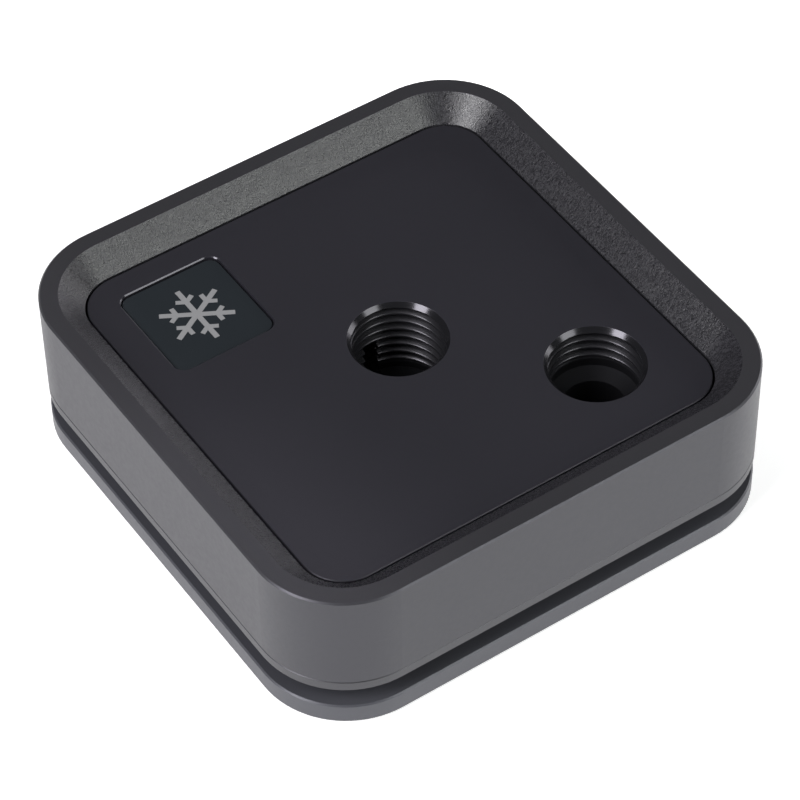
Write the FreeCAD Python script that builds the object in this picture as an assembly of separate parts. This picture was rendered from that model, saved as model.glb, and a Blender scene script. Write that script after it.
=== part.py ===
import FreeCAD, Part
import math
import os

# Liquid cooling cold plate, in millimetres.
# Frame: origin at the centre of the contact face, on the block's axis.
# +Z points up, out of the ports. The sides are square to X and Y.
# The inlet port is close to the Z axis, the outlet port lies towards +X -Y,
# and the badge plate lies towards -X +Y.

V = FreeCAD.Vector

# ---- outline and heights ----------------------------------------------------
SIDE = 70.0                 # square outline
R_OUT = 11.83               # its corner radius
H_TOTAL = 22.0              # contact face to rim
Z_ISLAND = 0.20             # the contact face stands this far below the plate's underside
Z_GROOVE_LO = 3.15          # top of the cold plate = lower side of the bracket groove
Z_GROOVE_HI = 6.15          # underside of the flange = upper side of the bracket groove
Z_SEAM = 7.60               # top of the flange, where the cover begins
GROOVE_DEPTH = 4.0          # how far the neck is set in from the outline

# ---- cover ------------------------------------------------------------------
RIM_W = 2.43                # flat rim
R_RIM_IN = 9.45             # corner radius at the rim's inner edge
FACE_DROP = 2.93            # rim down to the port face
WIN_INSET = 5.69            # foot of the bevel, from the outline
R_WIN = 5.76                # corner radius at the foot of the bevel
Z_LIP = 16.60               # underside of the cover's inward lip
WALL_T = 3.0                # cover wall below the lip
EDGE_COVER = 0.22           # small break along the cover's outer top edge
EDGE_SEAM = 0.12            # small break either side of the seam
EDGE_PLATE = 0.20           # small break round the cold plate

# ---- port body --------------------------------------------------------------
FACE_GAP = 0.28             # dark line between bevel foot and port face
BODY_GAP = 0.10             # body inside the cover wall
LIP_GAP = 0.10              # body shoulder under the cover's lip
Z_FACE = H_TOTAL - FACE_DROP

# G1/4 ports: pitch 1.337, thread crest radius 5.72, thread root radius 6.58
PORT_MOUTH_R = 6.34
PORT_R = 5.72
PORT_CHAMFER = PORT_MOUTH_R - PORT_R
INLET = (0.28, 0.06)
INLET_DEPTH = 11.0
OUTLET = (17.53, -17.11)
OUTLET_DEPTH = 6.3          # to the corner of the drill point
OUTLET_HOLE_R = 4.0

# flow passages under the ports
SLOT_W = 2.0                # inlet slot over the middle of the fins
SLOT_L = 26.0
SLOT_TOP = Z_FACE - 6.3
FIN_X = 30.0                # fin field
FIN_Y = 28.0
FIN_T = 0.40
FIN_PITCH = 0.80
Z_FIN_ROOT = 1.95
Z_FIN_TOP = 4.50
GASKET_T = 0.50
CHAN_W = 5.0                # collecting channel round the fins
Z_CHAN = 7.40               # its roof
CHAN_RIB = 1.0              # wall between the fins and the channel's cross run

# seal
SEAL_HALF = 23.2            # centre line of the seal, from the axis
SEAL_R = 6.0
SEAL_CORD = 1.8
SEAL_GROOVE_W = 2.3
SEAL_GROOVE_D = 1.45

# badge plate
BADGE_X0, BADGE_X1 = -24.68, -10.45
BADGE_Y0, BADGE_Y1 = 10.43, 25.45
BADGE_R = 1.60
BADGE_POCKET = 1.55
EDGE_POCKET = 0.15          # break round the pocket's top edge
BADGE_T = 1.0
BADGE_PAD = 0.20
BADGE_GAP = 0.10

# screws
M3_R = 1.5
M3_HEAD_R = 2.8
M3_CLEAR_R = 1.65
SCREW_SINK = 0.15           # heads sit this far up inside their countersinks
PLATE_SCREW_L = 8.0
COVER_SCREW_L = 12.0
PLATE_SCREW_XY = [(s * 27.4, t * 11.0) for s in (-1, 1) for t in (-1, 1)] + \
                 [(s * 11.0, t * 27.4) for s in (-1, 1) for t in (-1, 1)]
COVER_SCREW_A = 25.9
COVER_SCREW_XY = [(s * COVER_SCREW_A, t * COVER_SCREW_A) for s in (-1, 1) for t in (-1, 1)]
BOSS_R = 3.6
ISLAND = 44.0               # contact face


def rounded(cx, cy, sx, sy, r, z):
    """Closed wire of a rectangle with rounded corners, in the plane Z = z."""
    hx, hy = sx / 2.0, sy / 2.0
    k = r * math.sqrt(0.5)
    e = []
    cs = [(1, 1), (-1, 1), (-1, -1), (1, -1)]
    for i, (a, b) in enumerate(cs):
        c = V(cx + a * (hx - r), cy + b * (hy - r), z)
        if i % 2 == 0:
            p0 = V(c.x + a * r, c.y, z)
            p1 = V(c.x, c.y + b * r, z)
        else:
            p0 = V(c.x, c.y + b * r, z)
            p1 = V(c.x + a * r, c.y, z)
        pm = V(c.x + a * k, c.y + b * k, z)
        e.append(Part.Arc(p0, pm, p1).toShape())
        na, nb = cs[(i + 1) % 4]
        cn = V(cx + na * (hx - r), cy + nb * (hy - r), z)
        if i % 2 == 0:
            q = V(cn.x, cn.y + nb * r, z)
        else:
            q = V(cn.x + na * r, cn.y, z)
        e.append(Part.LineSegment(p1, q).toShape())
    return Part.Wire(e)


def slab(cx, cy, sx, sy, r, z0, z1):
    return Part.Face(rounded(cx, cy, sx, sy, r, z0)).extrude(V(0, 0, z1 - z0))


def square(inset, r, z0, z1):
    s = SIDE - 2.0 * inset
    return slab(0, 0, s, s, r, z0, z1)


def cyl(x, y, r, z0, z1):
    return Part.makeCylinder(r, z1 - z0, V(x, y, z0), V(0, 0, 1))


def cone(x, y, r0, r1, z0, z1):
    return Part.makeCone(r0, r1, z1 - z0, V(x, y, z0), V(0, 0, 1))


def loft(w0, w1):
    return Part.makeLoft([w0, w1], True, True)


def stepped(inset, r, z0, z1, lo, hi):
    """Square slab with its outer edges broken by lo below and hi above."""
    s = SIDE - 2.0 * inset
    parts = []
    zl, zh = z0, z1
    if lo:
        parts.append(loft(rounded(0, 0, s - 2 * lo, s - 2 * lo, r - lo, z0), rounded(0, 0, s, s, r, z0 + lo)))
        zl = z0 + lo
    if hi:
        parts.append(loft(rounded(0, 0, s, s, r, z1 - hi), rounded(0, 0, s - 2 * hi, s - 2 * hi, r - hi, z1)))
        zh = z1 - hi
    body = square(inset, r, zl, zh)
    for p in parts:
        body = body.fuse(p)
    return body.removeSplitter()


def box(x0, x1, y0, y1, z0, z1):
    return Part.makeBox(x1 - x0, y1 - y0, z1 - z0, V(x0, y0, z0))


# ---- cold plate -------------------------------------------------------------
def make_cold_plate():
    plate = stepped(0.0, R_OUT, Z_ISLAND, Z_GROOVE_LO, EDGE_PLATE, EDGE_PLATE)
    plate = plate.fuse(slab(0, 0, ISLAND, ISLAND, 3.0, 0.0, Z_ISLAND + 0.1))
    # wet side: the fins stand in a shallow pocket that also makes the channel floor
    plate = plate.cut(slab(0, 0, FIN_X + 2 * CHAN_W, FIN_Y, 1.5, Z_FIN_ROOT, Z_GROOVE_LO + 1))
    fins = []
    n = int(math.floor((FIN_Y - 0.6) / FIN_PITCH))
    y0 = -(n - 1) * FIN_PITCH / 2.0
    for i in range(n):
        y = y0 + i * FIN_PITCH
        fins.append(box(-FIN_X / 2, FIN_X / 2, y - FIN_T / 2, y + FIN_T / 2, Z_FIN_ROOT - 0.2, Z_FIN_TOP))
    plate = plate.fuse(fins)
    for x, y in PLATE_SCREW_XY + COVER_SCREW_XY:
        z0 = Z_ISLAND
        plate = plate.cut(cyl(x, y, M3_CLEAR_R, z0 - 1, Z_GROOVE_LO + 1))
        # countersink, with a short straight mouth that takes the sunk head
        rim = SCREW_SINK + 0.20 - 0.10
        plate = plate.cut(cyl(x, y, M3_HEAD_R + 0.10, z0 - 1, z0 + rim))
        plate = plate.cut(cone(x, y, M3_HEAD_R + 0.10, M3_CLEAR_R, z0 + rim, z0 + rim + (M3_HEAD_R + 0.10 - M3_CLEAR_R)))
    return plate.removeSplitter()


# ---- port body --------------------------------------------------------------
def port_cut(x, y, depth, chamfer):
    """A port's bore with its mouth chamfer."""
    z0 = Z_FACE - depth
    c = cyl(x, y, PORT_R, z0, Z_FACE + 1)
    c = c.fuse(cone(x, y, PORT_R, PORT_MOUTH_R, Z_FACE - chamfer, Z_FACE))
    return c


def make_port_body():
    flange = stepped(0.0, R_OUT, Z_GROOVE_HI, Z_SEAM, EDGE_SEAM, EDGE_SEAM)
    neck = square(GROOVE_DEPTH, R_OUT - GROOVE_DEPTH, Z_GROOVE_LO, Z_GROOVE_HI + 0.2)
    inner = WALL_T + BODY_GAP
    block = square(inner, R_OUT - inner, Z_SEAM - 0.2, Z_LIP - LIP_GAP)
    for x, y in COVER_SCREW_XY:
        a = math.copysign(1, x)
        b = math.copysign(1, y)
        # room for the cover's corner bosses
        block = block.cut(cyl(x, y, BOSS_R + 0.15, Z_SEAM, Z_LIP + 1))
        bx = sorted((x, a * 40.0))
        by = sorted((y, b * 40.0))
        cx = sorted((x - a * (BOSS_R + 0.15), a * 40.0))
        cy = sorted((y - b * (BOSS_R + 0.15), b * 40.0))
        block = block.cut(box(cx[0], cx[1], by[0], by[1], Z_SEAM, Z_LIP + 1))
        block = block.cut(box(bx[0], bx[1], cy[0], cy[1], Z_SEAM, Z_LIP + 1))
    fi = WIN_INSET + FACE_GAP
    face = stepped(fi, R_WIN - FACE_GAP, Z_LIP - LIP_GAP - 0.2, Z_FACE, 0, 0.10)
    body = flange.fuse([neck, block, face])

    # ports
    body = body.cut(port_cut(INLET[0], INLET[1], INLET_DEPTH, PORT_CHAMFER))
    ox, oy = OUTLET
    body = body.cut(port_cut(ox, oy, OUTLET_DEPTH, PORT_CHAMFER))
    dz = (PORT_R - OUTLET_HOLE_R) * math.tan(math.radians(31.0))
    zf = Z_FACE - OUTLET_DEPTH
    body = body.cut(cone(ox, oy, OUTLET_HOLE_R, PORT_R, zf - dz, zf))
    body = body.cut(cyl(ox, oy, OUTLET_HOLE_R, Z_CHAN - 0.6, zf))

    # inlet slot down to the middle of the fins
    body = body.cut(slab(0, 0, SLOT_W, SLOT_L, SLOT_W / 2 - 0.01, Z_GROOVE_LO, SLOT_TOP))
    # room for the gasket and the fin tops
    body = body.cut(slab(0, 0, FIN_X + 0.1, FIN_Y, 0.5, Z_GROOVE_LO - 1, Z_FIN_TOP + GASKET_T))
    # collecting channel: both ends of the fins, joined along -Y, where the outlet is
    y_lo = -FIN_Y / 2 - CHAN_RIB - CHAN_W + 0.5
    y_hi = FIN_Y / 2
    for s in (-1, 1):
        body = body.cut(slab(s * (FIN_X + CHAN_W) / 2, (y_lo + y_hi) / 2, CHAN_W, y_hi - y_lo, 1.5, Z_GROOVE_LO - 1, Z_CHAN))
    body = body.cut(slab(0, y_lo + (CHAN_W - 0.5) / 2, FIN_X + 2 * CHAN_W, CHAN_W - 0.5, 1.5, Z_GROOVE_LO - 1, Z_CHAN))

    # groove for the seal
    so = 2 * SEAL_HALF + SEAL_GROOVE_W
    si = 2 * SEAL_HALF - SEAL_GROOVE_W
    ring = slab(0, 0, so, so, SEAL_R + SEAL_GROOVE_W / 2, Z_GROOVE_LO - 1, Z_GROOVE_LO + SEAL_GROOVE_D)
    ring = ring.cut(slab(0, 0, si, si, SEAL_R - SEAL_GROOVE_W / 2, Z_GROOVE_LO - 2, Z_GROOVE_LO + SEAL_GROOVE_D + 1))
    body = body.cut(ring)

    # badge pocket
    px, py = (BADGE_X0 + BADGE_X1) / 2, (BADGE_Y0 + BADGE_Y1) / 2
    pw, ph = BADGE_X1 - BADGE_X0, BADGE_Y1 - BADGE_Y0
    body = body.cut(slab(px, py, pw, ph, BADGE_R, Z_FACE - BADGE_POCKET, Z_FACE + 1))
    k = EDGE_POCKET
    body = body.cut(loft(rounded(px, py, pw, ph, BADGE_R, Z_FACE - k),
                         rounded(px, py, pw + 4 * k, ph + 4 * k, BADGE_R + 2 * k, Z_FACE + k)))

    # tapped holes for the plate screws, clearance holes for the cover screws
    for x, y in PLATE_SCREW_XY:
        body = body.cut(cyl(x, y, M3_R, Z_GROOVE_LO - 1, Z_ISLAND + SCREW_SINK + PLATE_SCREW_L + 1.0))
    for x, y in COVER_SCREW_XY:
        body = body.cut(cyl(x, y, M3_CLEAR_R, Z_GROOVE_LO - 1, Z_SEAM + 1))
    return body.removeSplitter()


# ---- cover ------------------------------------------------------------------
def make_cover():
    s = SIDE
    cover = stepped(0.0, R_OUT, Z_SEAM, H_TOTAL, EDGE_SEAM, EDGE_COVER)
    # bevelled recess
    a = s - 2 * RIM_W
    b = s - 2 * WIN_INSET
    slope = (a - b) / 2.0 / FACE_DROP
    over = 0.5
    top = rounded(0, 0, a + 2 * slope * over, a + 2 * slope * over, R_RIM_IN + over * (R_RIM_IN - R_WIN) / FACE_DROP, H_TOTAL + over)
    foot = rounded(0, 0, b, b, R_WIN, Z_FACE)
    cover = cover.cut(loft(foot, top))
    cover = cover.cut(slab(0, 0, b, b, R_WIN, Z_LIP - 1, Z_FACE))
    # cavity for the body
    cav = square(WALL_T, R_OUT - WALL_T, Z_SEAM - 1, Z_LIP)
    for x, y in COVER_SCREW_XY:
        p = math.copysign(1, x)
        q = math.copysign(1, y)
        boss = cyl(x, y, BOSS_R, Z_SEAM - 1, Z_LIP)
        bx = sorted((x, p * 40.0))
        by = sorted((y, q * 40.0))
        cx = sorted((x - p * BOSS_R, p * 40.0))
        cy = sorted((y - q * BOSS_R, q * 40.0))
        boss = boss.fuse(box(cx[0], cx[1], by[0], by[1], Z_SEAM - 1, Z_LIP))
        boss = boss.fuse(box(bx[0], bx[1], cy[0], cy[1], Z_SEAM - 1, Z_LIP))
        cav = cav.cut(boss)
    cover = cover.cut(cav)
    for x, y in COVER_SCREW_XY:
        cover = cover.cut(cyl(x, y, M3_R, Z_SEAM - 1, Z_ISLAND + SCREW_SINK + COVER_SCREW_L + 1.0))
    return cover.removeSplitter()


# ---- small pieces -----------------------------------------------------------
def make_badge():
    g = BADGE_GAP
    cx, cy = (BADGE_X0 + BADGE_X1) / 2, (BADGE_Y0 + BADGE_Y1) / 2
    sx, sy = BADGE_X1 - BADGE_X0 - 2 * g, BADGE_Y1 - BADGE_Y0 - 2 * g
    z0 = Z_FACE - BADGE_POCKET + BADGE_PAD
    z1 = z0 + BADGE_T
    e = 0.12
    low = slab(cx, cy, sx, sy, BADGE_R - g, z0, z1 - e)
    top = loft(rounded(cx, cy, sx, sy, BADGE_R - g, z1 - e), rounded(cx, cy, sx - 2 * e, sy - 2 * e, BADGE_R - g - e, z1))
    return low.fuse(top).removeSplitter()


def make_badge_pad():
    cx, cy = (BADGE_X0 + BADGE_X1) / 2, (BADGE_Y0 + BADGE_Y1) / 2
    z0 = Z_FACE - BADGE_POCKET
    return slab(cx, cy, BADGE_X1 - BADGE_X0 - 1.2, BADGE_Y1 - BADGE_Y0 - 1.2, 1.0, z0, z0 + BADGE_PAD)


def make_gasket():
    g = slab(0, 0, FIN_X - 0.6, FIN_Y - 0.2, 0.4, Z_FIN_TOP, Z_FIN_TOP + GASKET_T)
    return g.cut(slab(0, 0, SLOT_W + 0.6, SLOT_L + 0.6, 1.2, Z_FIN_TOP - 1, Z_FIN_TOP + GASKET_T + 1))


def make_seal():
    # the cord is round, and flattened by the groove's depth
    w, h = SEAL_CORD + 0.15, SEAL_GROOVE_D
    r = 0.60
    zc = Z_GROOVE_LO + h / 2.0
    x = SEAL_HALF
    # section in the XZ plane at Y = 0: a rounded rectangle
    k = r * math.sqrt(0.5)
    pts = []
    e = []
    corners = [(1, 1), (-1, 1), (-1, -1), (1, -1)]
    for i, (a, b) in enumerate(corners):
        c = V(x + a * (w / 2 - r), 0, zc + b * (h / 2 - r))
        if i % 2 == 0:
            p0 = V(c.x + a * r, 0, c.z)
            p1 = V(c.x, 0, c.z + b * r)
        else:
            p0 = V(c.x, 0, c.z + b * r)
            p1 = V(c.x + a * r, 0, c.z)
        pm = V(c.x + a * k, 0, c.z + b * k)
        e.append(Part.Arc(p0, pm, p1).toShape())
        na, nb = corners[(i + 1) % 4]
        cn = V(x + na * (w / 2 - r), 0, zc + nb * (h / 2 - r))
        q = V(cn.x, 0, cn.z + nb * r) if i % 2 == 0 else V(cn.x + na * r, 0, cn.z)
        if p1.distanceToPoint(q) > 1e-6:
            e.append(Part.LineSegment(p1, q).toShape())
    prof = Part.Face(Part.Wire(e))
    # straight runs and quarter turns of one ring
    L = SEAL_HALF - SEAL_R
    run = prof.translated(V(0, -L, 0)).extrude(V(0, 2 * L, 0))
    # a corner turns about (L, L)
    turn = prof.translated(V(0, L, 0)).revolve(V(L, L, 0), V(0, 0, 1), 90)
    out = None
    for i in range(4):
        for s in (run, turn):
            p = s.copy()
            p.rotate(V(0, 0, 0), V(0, 0, 1), 90 * i)
            out = p if out is None else out.fuse(p)
    return out.removeSplitter()


def make_screw(x, y, length):
    """Countersunk machine screw, head down, with a 2 mm hexagon socket."""
    z0 = Z_ISLAND + SCREW_SINK
    rim = 0.2
    hh = rim + (M3_HEAD_R - M3_R)
    s = cyl(x, y, M3_HEAD_R, z0, z0 + rim)
    s = s.fuse(cone(x, y, M3_HEAD_R, M3_R, z0 + rim, z0 + hh))
    s = s.fuse(cyl(x, y, M3_R - 0.02, z0 + hh - 0.2, z0 + length - 0.3))
    s = s.fuse(cone(x, y, M3_R - 0.02, M3_R - 0.32, z0 + length - 0.3, z0 + length))
    hx = []
    for i in range(6):
        a = math.radians(60 * i)
        hx.append(V(x + 1.0 / math.cos(math.pi / 6) * math.cos(a), y + 1.0 / math.cos(math.pi / 6) * math.sin(a), z0 - 0.5))
    hx.append(hx[0])
    s = s.cut(Part.Face(Part.makePolygon(hx)).extrude(V(0, 0, 1.7)))
    return s.removeSplitter()


nodes = {
    "top_cover": make_cover(),
    "badge_plate": make_badge(),
    "badge_adhesive": make_badge_pad(),
    "port_body": make_port_body(),
    "flow_gasket": make_gasket(),
    "main_seal": make_seal(),
    "cold_plate": make_cold_plate(),
    "plate_screws": Part.makeCompound([make_screw(x, y, PLATE_SCREW_L) for x, y in PLATE_SCREW_XY]),
    "cover_screws": Part.makeCompound([make_screw(x, y, COVER_SCREW_L) for x, y in COVER_SCREW_XY]),
}

os.makedirs("parts", exist_ok=True)
for name, shape in nodes.items():
    if shape.ShapeType == "Compound" and len(shape.Solids) == 1:
        shape = shape.Solids[0]
    print(name, shape.ShapeType, "solids", len(shape.Solids), "valid", shape.isValid(),
          "volume %.1f" % shape.Volume, "faces", len(shape.Faces))
    shape.exportStep("parts/" + name + ".step")
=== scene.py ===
import bpy
import bmesh
import math
from mathutils import Matrix, Vector


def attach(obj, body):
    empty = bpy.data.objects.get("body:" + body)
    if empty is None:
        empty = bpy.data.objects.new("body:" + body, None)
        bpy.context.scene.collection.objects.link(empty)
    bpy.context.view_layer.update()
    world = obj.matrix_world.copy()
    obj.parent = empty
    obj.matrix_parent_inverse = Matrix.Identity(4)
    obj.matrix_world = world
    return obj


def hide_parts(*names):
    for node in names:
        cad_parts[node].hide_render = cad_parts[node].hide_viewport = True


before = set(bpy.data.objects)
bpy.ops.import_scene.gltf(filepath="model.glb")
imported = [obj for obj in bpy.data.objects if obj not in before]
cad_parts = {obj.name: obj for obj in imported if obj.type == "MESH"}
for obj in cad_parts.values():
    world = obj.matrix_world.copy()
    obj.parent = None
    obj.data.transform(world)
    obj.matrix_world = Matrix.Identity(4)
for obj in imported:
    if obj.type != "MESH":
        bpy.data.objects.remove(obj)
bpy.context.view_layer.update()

scene = bpy.context.scene
MM = 0.001

# ---- what the finishes and the threads follow, in metres --------------------
SIDE = 70.0 * MM
R_OUT = 11.83 * MM
C_ARC = SIDE / 2 - R_OUT           # corner arcs are centred here
Z_RIM = 22.0 * MM
Z_FACE = 19.07 * MM
RIM_IN = 9.40 * MM                 # rim's inner edge, measured from C_ARC
FOOT = 6.14 * MM                   # foot of the bevel, measured from C_ARC

PITCH = 1.337 * MM                 # G1/4
ROOT_R = 6.579 * MM
CREST_R = 5.735 * MM
ROUND_R = 0.1836 * MM
FLANK = math.radians(27.5)
MOUTH_R = 6.355 * MM
PORTS = {
    # centre, depth of a crest at the azimuth below, where the thread ends, how far the form fades out
    "inlet": ((0.28 * MM, 0.06 * MM), 1.68 * MM, 9.95 * MM, 0.9 * MM),
    "outlet": ((17.53 * MM, -17.11 * MM), 1.93 * MM, 5.00 * MM, 0.6 * MM),
}
CREST_AZ = math.radians(56.4)


# ---- node helpers -----------------------------------------------------------
class Mat:
    """A material with short calls for its nodes."""

    def __init__(self, name):
        self.m = bpy.data.materials.new(name)
        self.m.use_nodes = True
        self.t = self.m.node_tree
        self.t.nodes.clear()
        self.out = self.t.nodes.new("ShaderNodeOutputMaterial")
        self.p = self.t.nodes.new("ShaderNodeBsdfPrincipled")
        self.t.links.new(self.p.outputs[0], self.out.inputs[0])
        self.pos = self.t.nodes.new("ShaderNodeTexCoord").outputs["Object"]

    def put(self, value, socket):
        if isinstance(value, bpy.types.NodeSocket):
            self.t.links.new(value, socket)
        else:
            socket.default_value = value

    def math(self, op, a, b=None, c=None, clamp=False):
        n = self.t.nodes.new("ShaderNodeMath")
        n.operation = op
        n.use_clamp = clamp
        for i, v in enumerate((a, b, c)):
            if v is not None:
                self.put(v, n.inputs[i])
        return n.outputs[0]

    def vec(self, op, a, b=None, scale=None):
        n = self.t.nodes.new("ShaderNodeVectorMath")
        n.operation = op
        self.put(a, n.inputs[0])
        if b is not None:
            self.put(b, n.inputs[1])
        if scale is not None:
            self.put(scale, n.inputs["Scale"])
        return n.outputs["Value"] if op in ("LENGTH", "DOT_PRODUCT", "DISTANCE") else n.outputs["Vector"]

    def split(self, v):
        n = self.t.nodes.new("ShaderNodeSeparateXYZ")
        self.put(v, n.inputs[0])
        return n.outputs[0], n.outputs[1], n.outputs[2]

    def join(self, x, y, z):
        n = self.t.nodes.new("ShaderNodeCombineXYZ")
        for i, v in enumerate((x, y, z)):
            self.put(v, n.inputs[i])
        return n.outputs[0]

    def noise(self, vector, scale, detail=2.0, rough=0.5, distortion=0.0):
        n = self.t.nodes.new("ShaderNodeTexNoise")
        self.put(vector, n.inputs["Vector"])
        n.inputs["Scale"].default_value = scale
        n.inputs["Detail"].default_value = detail
        n.inputs["Roughness"].default_value = rough
        n.inputs["Distortion"].default_value = distortion
        return n.outputs[0]

    def voronoi(self, vector, scale, feature="F1"):
        n = self.t.nodes.new("ShaderNodeTexVoronoi")
        n.feature = feature
        self.put(vector, n.inputs["Vector"])
        n.inputs["Scale"].default_value = scale
        return n.outputs["Distance"], n.outputs["Color"]

    def remap(self, v, a0, a1, b0, b1, smooth=False):
        n = self.t.nodes.new("ShaderNodeMapRange")
        n.clamp = True
        if smooth:
            n.interpolation_type = "SMOOTHSTEP"
        self.put(v, n.inputs["Value"])
        for k, x in (("From Min", a0), ("From Max", a1), ("To Min", b0), ("To Max", b1)):
            self.put(x, n.inputs[k])
        return n.outputs[0]

    def mix(self, f, a, b):
        n = self.t.nodes.new("ShaderNodeMix")
        n.data_type = "RGBA"
        self.put(f, n.inputs[0])
        self.put(a, n.inputs[6])
        self.put(b, n.inputs[7])
        return n.outputs[2]

    def lerp(self, f, a, b):
        n = self.t.nodes.new("ShaderNodeMix")
        n.data_type = "FLOAT"
        self.put(f, n.inputs[0])
        self.put(a, n.inputs[2])
        self.put(b, n.inputs[3])
        return n.outputs[0]

    def bump(self, height, distance, strength=1.0, normal=None):
        n = self.t.nodes.new("ShaderNodeBump")
        n.inputs["Strength"].default_value = strength
        n.inputs["Distance"].default_value = distance
        self.put(height, n.inputs["Height"])
        if normal is not None:
            self.put(normal, n.inputs["Normal"])
        return n.outputs[0]

    def normal_z(self):
        g = self.t.nodes.new("ShaderNodeNewGeometry")
        return self.split(g.outputs["True Normal"])[2]

    def done(self, color, rough, normal=None, metallic=0.0, ior=1.5, tint=None):
        self.put(color, self.p.inputs["Base Color"])
        self.put(rough, self.p.inputs["Roughness"])
        self.put(metallic, self.p.inputs["Metallic"])
        self.p.inputs["IOR"].default_value = ior
        if tint is not None:
            self.put(tint, self.p.inputs["Specular Tint"])
        if normal is not None:
            self.put(normal, self.p.inputs["Normal"])
        return self.m


def rgb(r, g, b):
    return (r, g, b, 1.0)


def band(m, v, lo, hi, soft):
    """1 where v lies between lo and hi, with soft edges."""
    a = m.remap(v, lo - soft, lo + soft, 0.0, 1.0)
    b = m.remap(v, hi - soft, hi + soft, 1.0, 0.0)
    return m.math("MULTIPLY", a, b)


# ---- finishes ---------------------------------------------------------------
def black_anodised(name, bevel):
    """Black anodised aluminium: satin, with the even fine grain of a blasted surface.
    The bevel of the recess is coarser, and its grain runs down the slope."""
    m = Mat(name)
    x, y, z = m.split(m.pos)
    fine = m.noise(m.pos, 9000.0, 2.0, 0.6)
    mid = m.noise(m.pos, 1700.0, 2.0, 0.55)
    cloud = m.noise(m.pos, 90.0, 2.0, 0.5)
    base = m.mix(cloud, rgb(0.0275, 0.0275, 0.0315), rgb(0.0315, 0.0315, 0.0358))
    rough = m.remap(mid, 0.3, 0.7, 0.38, 0.43)
    height = m.math("ADD", m.math("MULTIPLY", fine, 0.35), m.math("MULTIPLY", mid, 0.65))
    flat_n = m.bump(height, 0.0000012)
    if not bevel:
        return m.done(base, rough, flat_n, ior=1.55)

    # place on the bevel: q is how far out of the corner centres, dir is which way
    ap = m.vec("ABSOLUTE", m.pos)
    q = m.vec("MAXIMUM", m.vec("SUBTRACT", ap, (C_ARC, C_ARC, 10.0)), (0.0, 0.0, 0.0))
    ql = m.vec("LENGTH", q)
    on_bevel = m.math("MULTIPLY", m.remap(ql, RIM_IN + 0.00002, RIM_IN - 0.00004, 0.0, 1.0),
                      m.remap(z, Z_FACE - 0.0004, Z_FACE - 0.0002, 0.0, 1.0))
    down = m.remap(z, Z_FACE, Z_RIM, 0.0, 1.0)
    # the same point moved along the slope to one line, so that a pattern there runs down the slope
    out = m.vec("NORMALIZE", q)
    back = m.vec("MULTIPLY", m.vec("SCALE", out, scale=m.math("SUBTRACT", ql, FOOT)), m.vec("SIGN", m.pos))
    line = m.vec("MULTIPLY", m.vec("SUBTRACT", m.pos, back), (1.0, 1.0, 0.0))
    across = m.join(0.0, 0.0, m.math("MULTIPLY", z, 0.45))
    streak = m.noise(m.vec("ADD", line, across), 4600.0, 2.0, 0.6)
    wide = m.noise(m.vec("ADD", line, across), 900.0, 2.0, 0.5)
    grain = m.noise(m.pos, 6000.0, 2.0, 0.65)
    blotch = m.noise(m.pos, 1500.0, 2.0, 0.6)
    lower = m.remap(m.math("ADD", down, m.math("MULTIPLY", m.math("SUBTRACT", wide, 0.5), 0.10)), 0.34, 0.40, 1.0, 0.0)
    relief = m.math("ADD", m.math("MULTIPLY", streak, 0.8),
                    m.math("ADD", m.math("MULTIPLY", grain, 1.3), m.math("MULTIPLY", blotch, 0.5)))
    relief = m.math("MULTIPLY", relief, m.lerp(lower, 1.0, 0.88))
    bevel_n = m.bump(relief, 0.000034)
    patch = m.remap(m.math("ADD", m.math("MULTIPLY", streak, 0.7), grain), 0.68, 1.02, 0.0, 1.0)
    bevel_rough = m.math("ADD", m.lerp(patch, 0.15, 0.36), m.math("MULTIPLY", m.math("SUBTRACT", wide, 0.5), 0.12))
    bevel_rough = m.math("ADD", bevel_rough, m.math("MULTIPLY", lower, 0.02))
    bevel_base = m.mix(patch, rgb(0.0140, 0.0136, 0.0160), rgb(0.0430, 0.0420, 0.0485))

    mixn = m.t.nodes.new("ShaderNodeMix")
    mixn.data_type = "VECTOR"
    m.put(on_bevel, mixn.inputs[0])
    m.put(flat_n, mixn.inputs[4])
    m.put(bevel_n, mixn.inputs[5])
    normal = m.vec("NORMALIZE", mixn.outputs[1])
    # the dyed oxide has a cool sheen
    on_rim = m.remap(z, Z_RIM - 0.03 * MM, Z_RIM - 0.02 * MM, 0.0, 1.0)
    base = m.mix(on_rim, base, rgb(0.0296, 0.0291, 0.0325))
    tint = m.mix(on_bevel, rgb(0.915, 0.897, 1.0), rgb(1.0, 1.0, 1.0))
    tint = m.mix(on_rim, tint, rgb(0.925, 0.915, 1.0))
    return m.done(m.mix(on_bevel, base, bevel_base), m.lerp(on_bevel, rough, bevel_rough), normal, ior=1.55, tint=tint)


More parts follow.
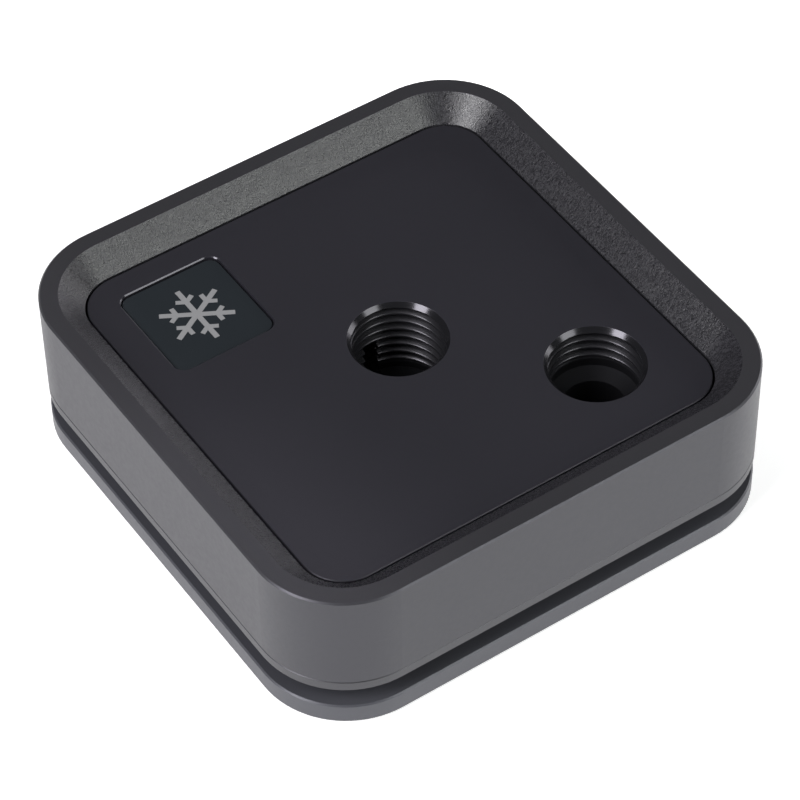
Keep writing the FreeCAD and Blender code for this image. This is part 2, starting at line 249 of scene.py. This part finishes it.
def black_acetal(name):
    """The port block: flat black plastic with a faint cutter sheen, glossier in the threads and chamfers."""
    m = Mat(name)
    x, y, z = m.split(m.pos)
    fine = m.noise(m.pos, 8000.0, 2.0, 0.6)
    mid = m.noise(m.pos, 1500.0, 2.0, 0.5)
    cloud = m.noise(m.pos, 60.0, 2.0, 0.5)
    base = m.mix(cloud, rgb(0.0195, 0.0190, 0.0240), rgb(0.0222, 0.0216, 0.0272))
    # the flange is finished like the cover
    flange = m.remap(z, 7.7 * MM, 7.8 * MM, 1.0, 0.0)
    ds = []
    for key in ("inlet", "outlet"):
        cx, cy = PORTS[key][0]
        ds.append(m.vec("LENGTH", m.vec("MULTIPLY", m.vec("SUBTRACT", m.pos, (cx, cy, 0.0)), (1.0, 1.0, 0.0))))
    near = m.math("MINIMUM", ds[0], ds[1])
    # inside a port: nearer than the mouth's edge, or below the face where the thread is wider
    inside = m.math("MAXIMUM", m.remap(near, MOUTH_R - 0.00003, MOUTH_R, 1.0, 0.0),
                    m.math("MULTIPLY", m.remap(near, 6.70 * MM, 6.72 * MM, 1.0, 0.0),
                           m.remap(z, Z_FACE - 0.0002, Z_FACE - 0.0001, 1.0, 0.0)))
    bore = m.math("MULTIPLY", inside, m.remap(z, 7.9 * MM, 8.0 * MM, 0.0, 1.0))
    # turned surfaces carry fine rings round the bore
    rings = m.noise(m.join(near, z, 0.0), 16000.0, 1.0, 0.5)
    face_rough = m.remap(mid, 0.3, 0.7, 0.40, 0.45)
    # the chamfer is cut last and shines; the thread is duller, and the drilled bottom duller again
    thread = m.remap(z, Z_FACE - 0.95 * MM, Z_FACE - 0.65 * MM, 1.0, 0.0)
    depth = m.lerp(m.math("LESS_THAN", ds[1], ds[0]), PORTS["inlet"][2], PORTS["outlet"][2])
    under = m.math("SUBTRACT", m.math("SUBTRACT", Z_FACE, depth), z)
    drilled = m.remap(under, -0.3 * MM, 0.3 * MM, 0.0, 1.0)
    bore_rough = m.lerp(thread, m.remap(rings, 0.3, 0.7, 0.14, 0.19), m.remap(rings, 0.3, 0.7, 0.25, 0.32))
    bore_rough = m.lerp(drilled, bore_rough, 0.60)
    rough = m.lerp(bore, m.lerp(flange, face_rough, 0.40), bore_rough)
    broken = m.math("MULTIPLY", m.remap(z, Z_FACE - 0.015 * MM, Z_FACE - 0.010 * MM, 1.0, 0.0),
                    m.math("MULTIPLY", m.math("LESS_THAN", x, -9.9 * MM), m.math("GREATER_THAN", y, 9.9 * MM)))
    broken = m.math("MULTIPLY", broken, m.math("MULTIPLY", m.math("GREATER_THAN", x, -25.3 * MM),
                                               m.math("LESS_THAN", y, 26.1 * MM)))
    rough = m.lerp(broken, rough, 0.17)
    height = m.lerp(bore, m.math("ADD", m.math("MULTIPLY", fine, 0.4), m.math("MULTIPLY", mid, 0.6)), rings)
    normal = m.bump(height, 0.0000011)
    # painted shade: the inside of each port, chamfer and thread included, is coloured darker than the face, and the
    # drilled bottom darker again with its reflections tinted down, for the shade deep in the port
    drilled = m.math("MULTIPLY", bore, drilled)
    color = m.mix(bore, m.mix(flange, base, rgb(0.0450, 0.0450, 0.0485)), rgb(0.0105, 0.0105, 0.0120))
    color = m.mix(drilled, color, rgb(0.007, 0.007, 0.008))
    tint = m.mix(drilled, rgb(0.93, 0.905, 1.0), rgb(0.20, 0.20, 0.22))
    return m.done(color, rough, normal, ior=1.52, tint=tint)


def black_plated(name):
    """Cold plate: black all over, except for the bare lapped copper contact face."""
    m = Mat(name)
    x, y, z = m.split(m.pos)
    fine = m.noise(m.pos, 9000.0, 2.0, 0.6)
    mid = m.noise(m.pos, 1700.0, 2.0, 0.55)
    black = m.mix(m.noise(m.pos, 90.0), rgb(0.0545, 0.0552, 0.0650), rgb(0.0605, 0.0613, 0.0715))
    # lapping leaves short scratches in all directions
    l1 = m.noise(m.vec("MULTIPLY", m.pos, (1.0, 0.03, 0.0)), 3600.0, 1.0, 0.5)
    l2 = m.noise(m.vec("MULTIPLY", m.vec("ADD", m.pos, (0.3, 0.1, 0.0)), (0.03, 1.0, 0.0)), 3600.0, 1.0, 0.5)
    lap = m.math("ADD", l1, l2)
    copper = m.mix(m.noise(m.pos, 70.0, 1.0, 0.5), rgb(0.875, 0.495, 0.350), rgb(0.915, 0.535, 0.390))
    bare = m.remap(z, 0.10 * MM, 0.14 * MM, 1.0, 0.0)
    rough = m.lerp(bare, m.remap(mid, 0.3, 0.7, 0.38, 0.43), m.remap(lap, 0.7, 1.3, 0.272, 0.279))
    height = m.lerp(bare, m.math("ADD", m.math("MULTIPLY", fine, 0.35), m.math("MULTIPLY", mid, 0.65)), m.math("MULTIPLY", lap, 0.02))
    tint = m.mix(bare, rgb(0.93, 0.935, 1.0), rgb(1.0, 1.0, 1.0))
    return m.done(m.mix(bare, black, copper), rough, m.bump(height, 0.0000012), metallic=bare, ior=1.55, tint=tint)


def gloss_plate(name):
    """Badge plate: smooth dark plastic with a deep gloss."""
    m = Mat(name)
    cloud = m.noise(m.pos, 120.0, 2.0, 0.5)
    fine = m.noise(m.pos, 5000.0, 2.0, 0.5)
    wave = m.noise(m.pos, 260.0, 1.0, 0.5)
    base = m.mix(cloud, rgb(0.0195, 0.0235, 0.0275), rgb(0.0215, 0.0260, 0.0305))
    n = m.bump(m.math("ADD", m.math("MULTIPLY", fine, 0.02), wave), 0.0000020)
    return m.done(base, m.remap(fine, 0.3, 0.7, 0.13, 0.17), n, ior=1.5)


def mark_ink(name):
    """Pale satin print."""
    m = Mat(name)
    fine = m.noise(m.pos, 9000.0, 3.0, 0.6)
    base = m.mix(fine, rgb(0.36, 0.36, 0.37), rgb(0.44, 0.44, 0.45))
    return m.done(base, m.remap(fine, 0.3, 0.7, 0.34, 0.44), m.bump(fine, 0.0000015), metallic=0.35, ior=1.5)


def black_rubber(name):
    m = Mat(name)
    fine = m.noise(m.pos, 6000.0, 3.0, 0.6)
    base = m.mix(fine, rgb(0.012, 0.012, 0.012), rgb(0.022, 0.022, 0.022))
    return m.done(base, m.remap(fine, 0.3, 0.7, 0.55, 0.68), m.bump(fine, 0.000004), ior=1.5)


def foam_tape(name):
    m = Mat(name)
    cells = m.voronoi(m.pos, 5200.0)[0]
    base = m.mix(cells, rgb(0.020, 0.020, 0.021), rgb(0.045, 0.045, 0.047))
    return m.done(base, 0.7, m.bump(cells, 0.000010), ior=1.45)


def black_steel(name):
    """Screws: black oxide steel."""
    m = Mat(name)
    fine = m.noise(m.pos, 7000.0, 3.0, 0.6)
    x, y, z = m.split(m.pos)
    base = m.mix(fine, rgb(0.045, 0.045, 0.050), rgb(0.080, 0.080, 0.086))
    return m.done(base, m.remap(fine, 0.3, 0.7, 0.30, 0.42), m.bump(fine, 0.0000025), metallic=0.85, ior=1.5)


# ---- threads ----------------------------------------------------------------
def thread_r(u):
    """Radius of the 55 degree thread at the axial distance u from a crest."""
    half = PITCH / 2
    ut = ROUND_R * math.cos(FLANK)
    rise = ROUND_R * (1 - math.sin(FLANK))
    slope = 1.0 / math.tan(FLANK)
    if u <= ut:
        return CREST_R + ROUND_R - math.sqrt(max(ROUND_R ** 2 - u * u, 0.0))
    if u < half - ut:
        return CREST_R + rise + slope * (u - ut)
    w = half - u
    return ROOT_R - (ROUND_R - math.sqrt(max(ROUND_R ** 2 - w * w, 0.0)))


def port_void(name, centre, crest_depth, end, fade):
    """Closed solid of the space inside a port: mouth, chamfer and thread, down to where the thread runs out."""
    n_a = 168
    step = 0.05 * MM
    depths = [-0.30 * MM, -0.0005 * MM]
    d = 0.02 * MM
    while d < end:
        depths.append(d)
        d += step
    rings = []
    for d in depths:
        ring = []
        for i in range(n_a):
            a = 2 * math.pi * i / n_a
            ph = (d - crest_depth + PITCH * (a - CREST_AZ) / (2 * math.pi)) / PITCH
            u = abs(ph - math.floor(ph + 0.5)) * PITCH
            k = min(max((end - d) / fade, 0.0), 1.0)
            k = k * k * (3 - 2 * k)
            # the first turn also starts gently, so that the chamfer stays whole
            s = min(max((d - 0.42 * MM) / (0.40 * MM), 0.0), 1.0)
            k = k * s * s * (3 - 2 * s)
            r = CREST_R + (thread_r(u) - CREST_R) * k
            r = max(r, MOUTH_R - max(d, 0.0))
            ring.append((centre[0] + r * math.cos(a), centre[1] + r * math.sin(a), Z_FACE - d))
        rings.append(ring)
    for d, r in ((end + 0.02 * MM, 5.60 * MM), (end + 0.10 * MM, 5.20 * MM)):
        rings.append([(centre[0] + r * math.cos(2 * math.pi * i / n_a),
                       centre[1] + r * math.sin(2 * math.pi * i / n_a), Z_FACE - d) for i in range(n_a)])
    bm = bmesh.new()
    rows = [[bm.verts.new(p) for p in ring] for ring in rings]
    for a, b in zip(rows, rows[1:]):
        for i in range(n_a):
            j = (i + 1) % n_a
            bm.faces.new((a[i], b[i], b[j], a[j]))
    bm.faces.new(rows[0])
    bm.faces.new(list(reversed(rows[-1])))
    bmesh.ops.recalc_face_normals(bm, faces=bm.faces)
    bmesh.ops.triangulate(bm, faces=[f for f in bm.faces if len(f.verts) > 4])
    me = bpy.data.meshes.new(name)
    bm.to_mesh(me)
    bm.free()
    o = bpy.data.objects.new(name, me)
    scene.collection.objects.link(o)
    return o


def welded_copy(source, name):
    """A copy of a CAD node's mesh as one closed skin."""
    bm = bmesh.new()
    bm.from_mesh(source.data)
    bmesh.ops.remove_doubles(bm, verts=bm.verts, dist=1e-6)
    for layer in list(bm.loops.layers.float_vector):
        bm.loops.layers.float_vector.remove(layer)
    me = bpy.data.meshes.new(name)
    bm.to_mesh(me)
    bm.free()
    for a in ("custom_normal", "sharp_edge", "sharp_face"):
        if a in me.attributes:
            me.attributes.remove(me.attributes[a])
    o = bpy.data.objects.new(name, me)
    scene.collection.objects.link(o)
    return o


def applied(o):
    """Bakes the modifiers of o into its mesh."""
    dg = bpy.context.evaluated_depsgraph_get()
    me = bpy.data.meshes.new_from_object(o.evaluated_get(dg), depsgraph=dg)
    o.modifiers.clear()
    old = o.data
    o.data = me
    bpy.data.meshes.remove(old)


def smooth_by_angle(me, degrees):
    me.shade_smooth()
    me.set_sharp_from_angle(angle=math.radians(degrees))


def make_threaded_block():
    o = welded_copy(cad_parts["port_body"], "port_block")
    voids = []
    for key, (centre, crest, end, fade) in PORTS.items():
        v = port_void("void_" + key, centre, crest, end, fade)
        voids.append(v)
        mod = o.modifiers.new(key, "BOOLEAN")
        mod.operation = "DIFFERENCE"
        mod.object = v
        mod.solver = "EXACT"
    applied(o)
    for v in voids:
        me = v.data
        bpy.data.objects.remove(v)
        bpy.data.meshes.remove(me)
    bm = bmesh.new()
    bm.from_mesh(o.data)
    bmesh.ops.remove_doubles(bm, verts=bm.verts, dist=2e-7)
    bmesh.ops.dissolve_degenerate(bm, edges=bm.edges, dist=2e-7)
    bmesh.ops.triangulate(bm, faces=bm.faces)
    bad = sum(1 for e in bm.edges if len(e.link_faces) != 2)
    print("port_block faces", len(bm.faces), "edges not shared by two faces", bad)
    bm.to_mesh(o.data)
    bm.free()
    smooth_by_angle(o.data, 32)
    return o


def make_snowflake(centre, z0, z1, turn):
    """Plain snowflake on the badge plate, a thin raised print: six straight bars with one pair of branches each."""
    h, hb, reach, start, branch = 0.35, 0.31, 4.70, 2.5, 1.35
    u, n = (0.5, 0.8660254), (-0.8660254, 0.5)
    t1, t2 = (h - 0.5 * hb) / 0.8660254, (h + 0.5 * hb) / 0.8660254
    up = [(h * math.sqrt(3.0), h), (start + 0.5 * t1 - 0.8660254 * hb, h),
          (start + branch * u[0] + hb * n[0], branch * u[1] + hb * n[1]),
          (start + branch * u[0] - hb * n[0], branch * u[1] - hb * n[1]),
          (start + 0.5 * t2 + 0.8660254 * hb, h), (reach, h)]
    arm = [(x, -y) for x, y in up[1:]] + list(reversed(up))
    pts = []
    for k in range(6):
        a = turn + k * math.pi / 3
        c, s = math.cos(a), math.sin(a)
        pts += [(centre[0] + (x * c - y * s) * MM, centre[1] + (x * s + y * c) * MM) for x, y in arm]
    bm = bmesh.new()
    low = [bm.verts.new((x, y, z0)) for x, y in pts]
    top = [bm.verts.new((x, y, z1)) for x, y in pts]
    bm.faces.new(top)
    bm.faces.new(list(reversed(low)))
    for i in range(len(pts)):
        j = (i + 1) % len(pts)
        bm.faces.new((low[i], low[j], top[j], top[i]))
    bm.normal_update()
    bmesh.ops.triangulate(bm, faces=bm.faces[:], ngon_method="EAR_CLIP")
    bmesh.ops.recalc_face_normals(bm, faces=bm.faces[:])
    print("badge_mark edges not shared by two faces", sum(1 for e in bm.edges if len(e.link_faces) != 2))
    me = bpy.data.meshes.new("badge_mark")
    bm.to_mesh(me)
    bm.free()
    o = bpy.data.objects.new("badge_mark", me)
    scene.collection.objects.link(o)
    return o


# ---- build ------------------------------------------------------------------
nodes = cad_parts


def paint(o, mat):
    o.data.materials.clear()
    o.data.materials.append(mat)


m_cover = black_anodised("cover_black", True)
m_block = black_acetal("block_black")
m_plate = black_plated("plate_black_copper")
m_badge = gloss_plate("badge_gloss")
m_mark = mark_ink("mark_pale")
m_rubber = black_rubber("seal_rubber")
m_tape = foam_tape("tape_black")
m_screw = black_steel("screw_black")

for node, mat in (("top_cover", m_cover), ("badge_plate", m_badge), ("badge_adhesive", m_tape),
                  ("flow_gasket", m_rubber), ("main_seal", m_rubber), ("cold_plate", m_plate),
                  ("plate_screws", m_screw), ("cover_screws", m_screw)):
    for s in nodes[node].material_slots:
        s.material = mat

block = make_threaded_block()
paint(block, m_block)
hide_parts("port_body")
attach(block, "root")

mark = make_snowflake((-17.565 * MM, 17.94 * MM), 18.71 * MM, 18.75 * MM, math.radians(30))
paint(mark, m_mark)
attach(mark, "root")

# ---- floor ------------------------------------------------------------------
fm = bpy.data.meshes.new("floor")
R = 30.0
fm.from_pydata([(-R, -R, 0), (R, -R, 0), (R, R, 0), (-R, R, 0)], [], [(0, 1, 2, 3)])
floor = bpy.data.objects.new("floor", fm)
scene.collection.objects.link(floor)
f = Mat("floor_pale")
f.done(rgb(0.80, 0.80, 0.80), 0.65, ior=1.3)
f.p.inputs["Emission Color"].default_value = rgb(1.0, 1.0, 1.0)
# painted light: the backdrop glows more on the side where the object's shadow would fall, which fills in that shadow
side = f.vec("DOT_PRODUCT", f.pos, (0.94, 0.34, 0.0))
f.put(f.remap(side, 0.0, 0.07, 0.57, 0.90, smooth=True), f.p.inputs["Emission Strength"])
paint(floor, f.m)


# ---- light ------------------------------------------------------------------
def toward(az, el):
    a, e = math.radians(az), math.radians(el)
    return Vector((math.cos(a) * math.cos(e), math.sin(a) * math.cos(e), math.sin(e)))


def softbox(name, az, el, dist, width, height, radiance, color=(1.0, 1.0, 1.0)):
    """Rectangular light that faces the object. Radiance is what its reflection shows."""
    data = bpy.data.lights.new(name, "AREA")
    data.shape = "RECTANGLE"
    data.size, data.size_y = width, height
    data.energy = radiance * math.pi * width * height * math.pi / math.pi
    data.color = color
    o = bpy.data.objects.new(name, data)
    scene.collection.objects.link(o)
    d = toward(az, el)
    o.location = d * dist + Vector((0.0, 0.0, 0.015))
    o.rotation_euler = d.to_track_quat("Z", "Y").to_euler()
    o.visible_camera = False
    return o


def box_of(name, az, el, daz, dele, dist, radiance, color=(1.0, 1.0, 1.0)):
    """Softbox given by the angles that it spans."""
    w = 2 * dist * math.tan(math.radians(daz / 2)) * max(math.cos(math.radians(el)), 0.2)
    h = 2 * dist * math.tan(math.radians(dele / 2))
    return softbox(name, az, el, dist, w, h, radiance, color)


def snoot(name, target, az, el, radius, watts):
    """Narrow soft-edged beam on one patch of the object."""
    data = bpy.data.lights.new(name, "SPOT")
    data.energy = watts
    data.color = (0.93, 0.90, 1.0)
    data.shadow_soft_size = 0.004
    data.spot_size = 2 * math.atan(radius / 1.3)
    data.spot_blend = 1.0
    o = bpy.data.objects.new(name, data)
    scene.collection.objects.link(o)
    d = toward(az, el)
    o.location = Vector(target) + d * 1.3
    o.rotation_euler = d.to_track_quat("Z", "Y").to_euler()
    o.visible_camera = False
    return o


# three main lights
box_of("left", 184, 39, 27, 33, 1.3, 13.0, (0.985, 0.975, 1.0))
box_of("left_high", 184, 60, 27, 14, 1.3, 6.0)
box_of("key_front_right", 297.5, 36, 29, 28, 1.3, 5.9, (0.97, 1.0, 0.965))
box_of("key_skirt", 297.5, 18, 29, 10, 1.3, 2.4, (0.97, 1.0, 0.965))
box_of("key_crown", 297.5, 54, 29, 10, 1.3, 1.6, (0.97, 1.0, 0.965))
box_of("low_right", 347.5, 10, 22, 20, 1.3, 4.0)
# weak cards that only lift what the three leave dark
box_of("top_left", 195, 75, 90, 16, 1.3, 0.9)
box_of("back_right", 11, 12, 24, 24, 1.3, 1.5, (0.95, 0.93, 1.0))
box_of("back_low", 36, 10, 24, 20, 1.3, 2.2, (0.95, 0.93, 1.0))
box_of("back_high", 84, 50, 24, 20, 1.3, 0.4)
# beams that brighten the near left side of the flat surfaces
snoot("beam_near", (-0.062, -0.036, 0.020), 58.5, 51.0, 0.052, 3.1)
snoot("beam_mid", (-0.046, -0.002, 0.020), 60.0, 49.5, 0.019, 0.6)
snoot("beam_far", (-0.047, 0.027, 0.020), 62.0, 48.0, 0.022, 1.0)

world = bpy.data.worlds.new("studio")
scene.world = world
world.use_nodes = True
wt = world.node_tree
wt.nodes.clear()
wo = wt.nodes.new("ShaderNodeOutputWorld")
bg = wt.nodes.new("ShaderNodeBackground")
wt.links.new(bg.outputs[0], wo.inputs[0])
tc = wt.nodes.new("ShaderNodeTexCoord")
sep = wt.nodes.new("ShaderNodeSeparateXYZ")
wt.links.new(tc.outputs["Generated"], sep.inputs[0])
ramp = wt.nodes.new("ShaderNodeValToRGB")
wt.links.new(sep.outputs[2], ramp.inputs[0])
cr = ramp.color_ramp
cr.elements[0].position = 0.0
cr.elements[0].color = rgb(0.035, 0.035, 0.036)
cr.elements[1].position = 0.93
cr.elements[1].color = rgb(0.040, 0.040, 0.041)
wt.links.new(ramp.outputs[0], bg.inputs[0])
bg.inputs[1].default_value = 1.0

# ---- camera -----------------------------------------------------------------
cam_data = bpy.data.cameras.new("camera")
cam = bpy.data.objects.new("camera", cam_data)
scene.collection.objects.link(cam)
cam_data.sensor_width = 36.0
cam_data.lens = 158.355
cam_data.clip_start = 0.01
cam_data.clip_end = 100.0
X = Vector((0.82637945, -0.56299764, -0.01143109))
Y = Vector((0.42099185, 0.60420404, 0.67653776))
Z = Vector((-0.37398245, -0.5638893, 0.73631922))
rot = Matrix((X, Y, Z)).transposed()
cam.matrix_world = Matrix.Translation((-0.16351854, -0.24702562, 0.33057511)) @ rot.to_4x4()
scene.camera = cam

scene.view_settings.view_transform = "Standard"
scene.view_settings.look = "None"
